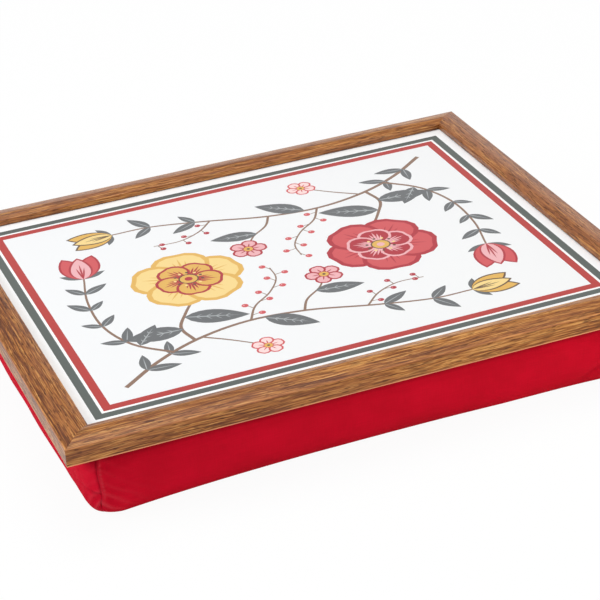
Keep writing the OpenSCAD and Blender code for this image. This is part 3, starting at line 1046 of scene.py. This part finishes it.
SEAM_DEPTH = 0.0009
SEAM_WIDTH = 0.0007
SEAM_SHADE_WIDTH = 0.00055
SEAM_FOOT = (0.038, 0.046)
ALLOWANCE = 0.0042
WELT_HEIGHT = 0.0005
WELT_RISE = 0.0012
WELT_FALL = 0.0008
WELT_FOOT = (0.032, 0.042)
STITCH_PITCH = 0.003
STITCH_LINE = 0.0021
STITCH_WIDTH = 0.0009
PUCKER_PITCH = 0.0085
PUCKER_SLANT = 0.75
PUCKER_HEIGHT = 0.0012
PUCKER_FOOT = (0.022, 0.040)
PUCKER_LEAST = 0.2
PUCKER_WAVER = 3
SEWN_REACH = 0.012
CREASE_DEPTH = 0.031
CREASE_WIDTH = 0.0009
CREASE_REACH = 0.014
CREASE_SINK = 0.0012
CREASE_SLANT = 0.1
TUG_START = (0.150, 0.008)
TUG_SLOPE = 0.8
TUG_FORWARD = (0.12, 0.14)
TUG_RISES = (0.146, 0.158)
TUG_FADES = (0.176, 0.192)
TUG_WIDTH = 0.0018
TUG_SINK = 0.0011
GATHER_HEIGHT = 0.0007
GATHER_REACH = 0.018
LUMP_HEIGHT = 0.0006
RUMPLE_HEIGHT = 0.0002
# Each noise on the cover's side: its waves per metre round it and down it, and its own level
WAVER = (30, 60, 3)
GATHERS = (42, 12, 7)
LUMPS = (21, 28, 11)
RUMPLES = (70, 90, 17)
SIDE_START = (0.004, 0.009)
SIDE_END = (0.001, 0.005)
# Where the painted shadow under the rails ends, down the sight line from their edge, and how strong each
# painted shade and highlight is
SIGHT_SLOPE = 0.56
SHADE_REACH = (0.0005, 0.004)
CREASE_SHADE = 0.9
TUG_SHADE = 0.4
RAIL_SHADE = 0.8
STITCH_HIGHLIGHT = 0.1
PUCKER_HIGHLIGHT = 0.17


def bell(value, width):
    """1 at 0, and falling to both sides of it over a width."""
    return math.exp(-((value / width) ** 2))


def edge_inset(point):
    """How far in from the tray's edge a point lies."""
    return min(tray_length / 2 - abs(point.x), tray_depth / 2 - abs(point.y))


def ripple(along, depth, waves_along, waves_down, level):
    """Soft noise at a spot on the cover's side."""
    return noise.noise(Vector((along * waves_along, depth * waves_down, level)))


def sew_cover(cover, depths, girth, distances):
    """Draws in the four seams over their allowances and the stitches' puckers, presses in the crease in each
    end panel and the tug at the front's right, and rumples the cloth a little. Keeps a painted shade in the
    seams, the crease and the tug and under the rails, and a painted highlight along the stitch line and on
    the puckers' crests."""
    count = len(distances)
    mesh = cover.data
    normals = [v.normal.copy() for v in mesh.vertices]
    folds = mesh.attributes.new("folds", "FLOAT", "POINT")
    rubs = mesh.attributes.new("rubs", "FLOAT", "POINT")
    for index, vertex in enumerate(mesh.vertices):
        row, k = divmod(index, count)
        if row >= len(depths):
            continue
        depth, off, along = depths[row], distances[k], girth[k]
        open_side = fade(depth, *SIDE_START) * fade(frame_base - depth, *SIDE_END)
        seam_end = 1 - fade(depth, *SEAM_FOOT)
        groove = bell(off, SEAM_WIDTH) * seam_end
        welt = fade(off, 0, WELT_RISE) * (1 - fade(off, ALLOWANCE - WELT_FALL, ALLOWANCE + WELT_FALL))
        stitch = (1 + 0.5 * math.sin(math.tau * depth / STITCH_PITCH)) * (1 - fade(depth, *WELT_FOOT))
        line = bell(off - STITCH_LINE, STITCH_WIDTH)
        slant = math.tau * (depth - PUCKER_SLANT * abs(off)) / PUCKER_PITCH
        slant += PUCKER_WAVER * ripple(along, depth, *WAVER)
        pucker = math.sin(slant) * math.exp(-abs(off) / SEWN_REACH)
        pucker *= PUCKER_LEAST + (1 - PUCKER_LEAST) * fade(depth, *PUCKER_FOOT)
        crease = bell(depth - CREASE_DEPTH - CREASE_SLANT * off, CREASE_WIDTH) * (off < 0)
        crease *= math.exp(-abs(off) / CREASE_REACH)
        rise = vertex.co.z - TUG_START[1] - TUG_SLOPE * (vertex.co.x - TUG_START[0])
        tug = bell(rise, TUG_WIDTH) * fade(-vertex.co.y, *TUG_FORWARD)
        tug *= fade(vertex.co.x, *TUG_RISES) * (1 - fade(vertex.co.x, *TUG_FADES))
        move = WELT_HEIGHT * welt * stitch - SEAM_DEPTH * groove - CREASE_SINK * crease - TUG_SINK * tug
        move += PUCKER_HEIGHT * pucker * seam_end
        move += GATHER_HEIGHT * ripple(along, depth, *GATHERS) * math.exp(-depth / GATHER_REACH)
        move += LUMP_HEIGHT * ripple(along, depth, *LUMPS)
        move += RUMPLE_HEIGHT * ripple(along, depth, *RUMPLES)
        vertex.co += normals[index] * move * open_side
        # Painted shade in the seams, the crease and the tug, and a painted shadow of the rails along the
        # cloth's top
        seam = bell(off, SEAM_SHADE_WIDTH)
        rail_shadow = 1 - fade(depth - SIGHT_SLOPE * edge_inset(vertex.co), *SHADE_REACH)
        folds.data[index].value = max(seam, CREASE_SHADE * crease, TUG_SHADE * tug, RAIL_SHADE * rail_shadow)
        # A painted highlight in dashes along the stitch line on the welt, and on the puckers' crests
        rubs.data[index].value = max(STITCH_HIGHLIGHT * line * stitch, PUCKER_HIGHLIGHT * pucker, 0) * open_side
    for vertex in mesh.vertices:
        if edge_inset(vertex.co) < STRIP_REACH:
            vertex.co.z = min(vertex.co.z, frame_base - STRIP_DROP)
        vertex.co.z = max(0, vertex.co.z)


COVER_RED = srgb(208, 3, 40)
COVER_DEEP = srgb(194, 1, 34)
# The colours of the cloth's painted shade and painted highlight
COVER_SHADE = srgb(104, 0, 16)
COVER_HIGHLIGHT = srgb(244, 120, 130)
THREAD_PITCH = 0.00042


def cotton(paint, light, deep):
    """Plain-woven cotton: uneven threads that pass over and under each other, and a soft nap."""
    cloth = paint.node("ShaderNodeUVMap", {"uv_map": "cloth"}, {})
    along, across = cloth.across()
    turns = math.pi / THREAD_PITCH
    over = paint.sum("SINE", along * turns, 0.0) * paint.sum("SINE", across * turns, 0.0)
    warp = paint.blotches(cloth, 0.012, 0.0007, 1.0)
    weft = paint.blotches(cloth, 0.0007, 0.012, 1.0)
    worn = paint.blotches(cloth, 0.03, 0.03, 1.0, detail=4.0)
    # Painted shade in the seams, the crease, the tug and under the rails
    folds = paint.kept("folds")
    # A painted highlight along the stitches and on the puckers' crests
    rubs = paint.kept("rubs")
    shade = warp * 0.25 + weft * 0.25 + worn * 0.5
    dyed = shade.between(0.35, 0.65).tint(deep, light)
    return dict(
        Base_Color=(folds * 0.5).tint(rubs.tint(dyed, COVER_HIGHLIGHT), COVER_SHADE),
        Roughness=0.85 + shade * 0.1,
        Specular_IOR_Level=0.12,
        Normal=paint.relief(over * 0.35 + warp * 0.3 + weft * 0.3, 0.0001),
    )


cover, columns, depths, rows, girth, seams = model_cover()
distances = from_seam(columns, girth, seams)
for vertex, move in zip(cover.data.vertices, swell_cover(columns, depths, rows, distances)):
    vertex.co += Vector(move)
sew_cover(cover, depths, girth, distances)
filling = cover.copy()
filling.data = cover.data.copy()
work_on(cover)
bpy.ops.object.shade_smooth()
thicken(cover, CLOTH_THICKNESS)
cover.data.materials.append(material("red cover cotton", cotton, COVER_RED, COVER_DEEP))
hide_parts("cushion_cover")
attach(cover, "root")


# The bead filling: loose white polystyrene beads, poured into the cover before its lining closes it. They
# take the cover's shape, and rise in the middle to bear the board from below.
FILL_CLEARANCE = 0.0014
FILL_SHOULDER = 0.0008
LINING_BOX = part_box("cushion_lining")
RAISED_INSET = 0.0262
BEAD_SIZE = 0.0035


def model_filling(source):
    """The cover's inside, drawn in a little, closed over the top with the rise under the board."""
    source.name = source.data.name = "beads_filling"
    bpy.context.collection.objects.link(source)
    work_on(source)
    bpy.ops.object.mode_set(mode="EDIT")
    bpy.ops.mesh.select_all(action="SELECT")
    bpy.ops.transform.shrink_fatten(value=-FILL_CLEARANCE)
    pick("EDGE", lambda e: e.is_boundary)
    mouth = NECK_INSET + FILL_CLEARANCE
    rise = [(reach / 2 - RAISED_INSET) / (reach / 2 - mouth) for reach in (tray_length, tray_depth)]
    bpy.ops.transform.translate(value=(0, 0, -FILL_SHOULDER))
    bpy.ops.mesh.extrude_edges_move()
    bpy.ops.transform.resize(value=(*rise, 1), center_override=(0, 0, 0))
    bpy.ops.mesh.extrude_edges_move()
    top = LINING_BOX[1].z - FILL_SHOULDER
    bpy.ops.transform.translate(value=(0, 0, top - (frame_base - COVER_TOP - FILL_SHOULDER)))
    bpy.ops.mesh.edge_face_add()
    bpy.ops.mesh.select_all(action="SELECT")
    bpy.ops.mesh.normals_make_consistent(inside=False)
    bpy.ops.object.mode_set(mode="OBJECT")
    bpy.ops.object.shade_smooth_by_angle(angle=math.radians(40))


def beads(paint):
    """Small white beads, packed against each other, painted greyer towards each bead's rim as shade between
    them.
    """
    place = paint.place()
    cells = paint.node("ShaderNodeTexVoronoi", {}, {"Vector": place, "Scale": 1 / BEAD_SIZE})
    return dict(
        Base_Color=cells.between(0.42, 0.8).tint(srgb(246, 246, 242), srgb(198, 198, 192)),
        Roughness=0.6,
        Normal=paint.relief(1 - cells, 0.0012),
    )


model_filling(filling)
filling.data.materials.append(material("white beads", beads))
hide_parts("bead_filling")
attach(filling, "root")


# The lining: thin calico over the cushion's top. Its margin is caught under the frame, and its middle is
# pushed up to the board's back by the beads.
LINING_THICKNESS = 0.0004
LINING_RAISED_INSET = 0.0255
LINING_BEND = 0.0016


def calico(paint, light, deep):
    """Thin plain-woven cloth, whose threads run along and across the tray."""
    place = paint.place()
    warp = paint.blotches(place, 0.025, 0.0008)
    weft = paint.blotches(place, 0.0008, 0.025, 0.0008)
    slub = paint.blotches(place, 0.04, detail=3.0)
    shade = warp * 0.4 + weft * 0.4 + slub * 0.2
    return dict(
        Base_Color=shade.between(0.35, 0.65).tint(deep, light),
        Roughness=0.85 + shade * 0.1,
        Specular_IOR_Level=0.2,
        Normal=paint.relief(warp * 0.5 + weft * 0.5, 0.0001),
    )


def model_lining():
    """The cloth with its flat margin and its raised middle, bent softly where it turns."""
    deselect()
    low, high = LINING_BOX
    wide, deep = high.x - low.x, high.y - low.y
    bpy.ops.mesh.primitive_plane_add(size=1, location=(0, 0, frame_base))
    bpy.ops.transform.resize(value=(wide, deep, 1), center_override=(0, 0, 0))
    bpy.ops.object.transform_apply(location=True, rotation=True, scale=True)
    lining = bpy.context.object
    lining.name = lining.data.name = "calico_lining"
    bpy.ops.object.mode_set(mode="EDIT")
    bpy.ops.mesh.select_all(action="SELECT")
    bpy.ops.mesh.inset(thickness=LINING_RAISED_INSET - (tray_length - wide) / 2)
    bpy.ops.mesh.extrude_region_move(TRANSFORM_OT_translate={"value": (0, 0, high.z - frame_base)})
    raised = tray_length / 2 - LINING_RAISED_INSET
    pick("EDGE", lambda e: all(abs(v.co.x) < raised + 0.0001 for v in e.verts) and not e.is_boundary)
    bpy.ops.mesh.bevel(offset=LINING_BEND, segments=4, affect="EDGES")
    bpy.ops.object.mode_set(mode="OBJECT")
    thicken(lining, LINING_THICKNESS)
    bpy.ops.object.shade_smooth_by_angle(angle=math.radians(40))
    return lining


lining = model_lining()
natural = material("natural calico", calico, srgb(236, 231, 220), srgb(212, 204, 188))
lining.data.materials.append(natural)
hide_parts("cushion_lining")
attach(lining, "root")


# The studio: a white table top under an even sky, with large soft lamps to the left and above and a small
# one at the front's right. The table shows white to the camera and in reflections but keeps the tray's
# shadow, and what mirrors the sky low down sees it brighter, as by a white sweep of paper.
CAMERA_PLACE = (-0.46612, -1.31130, 0.76598)
CAMERA_AZIMUTH = math.radians(-19.917)
CAMERA_ELEVATION = math.radians(27.895)
CAMERA_ROLL = math.radians(4.021)
FLOOR_REACH = 6.0
FLOOR_GAP = 0.0002
SHADOW_SHARE = 0.05
SKY = 0.4
SWEEP = 1.2
SWEEP_TOP = (0.15, 0.5)
LAMP_AIM = (0, 0, 0.05)

camera = bpy.data.objects.new("camera", bpy.data.cameras.new("camera"))
camera.data.sensor_width = 36
camera.data.lens = 128.75
camera.matrix_world = (
    Matrix.Translation(CAMERA_PLACE)
    @ Matrix.Rotation(CAMERA_AZIMUTH, 4, "Z")
    @ Matrix.Rotation(math.pi / 2 - CAMERA_ELEVATION, 4, "X")
    @ Matrix.Rotation(-CAMERA_ROLL, 4, "Z")
)
bpy.context.collection.objects.link(camera)
scene = bpy.context.scene
scene.camera = camera
scene.view_settings.view_transform = "Standard"


def matt_white(paint):
    """White paper without a shine."""
    return dict(Base_Color=srgb(244, 244, 244), Roughness=0.9, Specular_IOR_Level=0.0)


deselect()
bpy.ops.mesh.primitive_plane_add(size=2 * FLOOR_REACH, location=(0, 0, -FLOOR_GAP))
floor = bpy.context.object
floor.name = "table_top"
floor_white = material("white table top", matt_white)
paint = Paint(floor_white.node_tree)
seen = paint.node("ShaderNodeLightPath", {}, {}, output="Is Camera Ray")
mirrored = paint.node("ShaderNodeLightPath", {}, {}, output="Is Glossy Ray")
glow = paint.node("ShaderNodeEmission", {}, {"Color": (1, 1, 1, 1), "Strength": 1.0})
lit = Paint(paint.tree, paint.tree.nodes["Principled BSDF"].outputs[0])
shown = paint.node("ShaderNodeMixShader", {}, {0: (seen + mirrored) * (1 - SHADOW_SHARE), 1: lit, 2: glow})
paint.tree.links.new(shown.socket, paint.tree.nodes["Material Output"].inputs["Surface"])
floor.data.materials.append(floor_white)


def lamp(name, power, size, place, colour=(1, 1, 1)):
    """A square soft lamp at a place, turned to face the tray."""
    light = bpy.data.lights.new(name, "AREA")
    light.energy = power
    light.color = colour
    light.size = size
    holder = bpy.data.objects.new(name, light)
    holder.location = place
    aim = Vector(LAMP_AIM) - Vector(place)
    holder.rotation_euler = aim.to_track_quat("-Z", "Y").to_euler()
    bpy.context.collection.objects.link(holder)


lamp("left_lamp", 17.5, 1.0, (-1.8, 0.1, 1.0), (0.88, 0.95, 1))
lamp("top_lamp", 28.5, 1.6, (0.1, 0.2, 2.2))
lamp("front_lamp", 3.8, 0.3, (0.8, -0.68, 0.2), (1, 0.97, 0.72))
world = bpy.data.worlds.new("studio")
world.use_nodes = True
scene.world = world
sky = world.node_tree.nodes["Background"]
sky.inputs["Color"].default_value = (1, 1, 1, 1)
around = Paint(world.node_tree)
heading = around.node("ShaderNodeTexCoord", {}, {}, output="Generated")
parts = around.node("ShaderNodeSeparateXYZ", {}, {0: heading})
height = parts.beside("Z")
mirrored = around.node("ShaderNodeLightPath", {}, {}, output="Is Glossy Ray")
drive(sky, Strength=(1 - height.between(*SWEEP_TOP)) * mirrored * (SWEEP - SKY) + SKY)
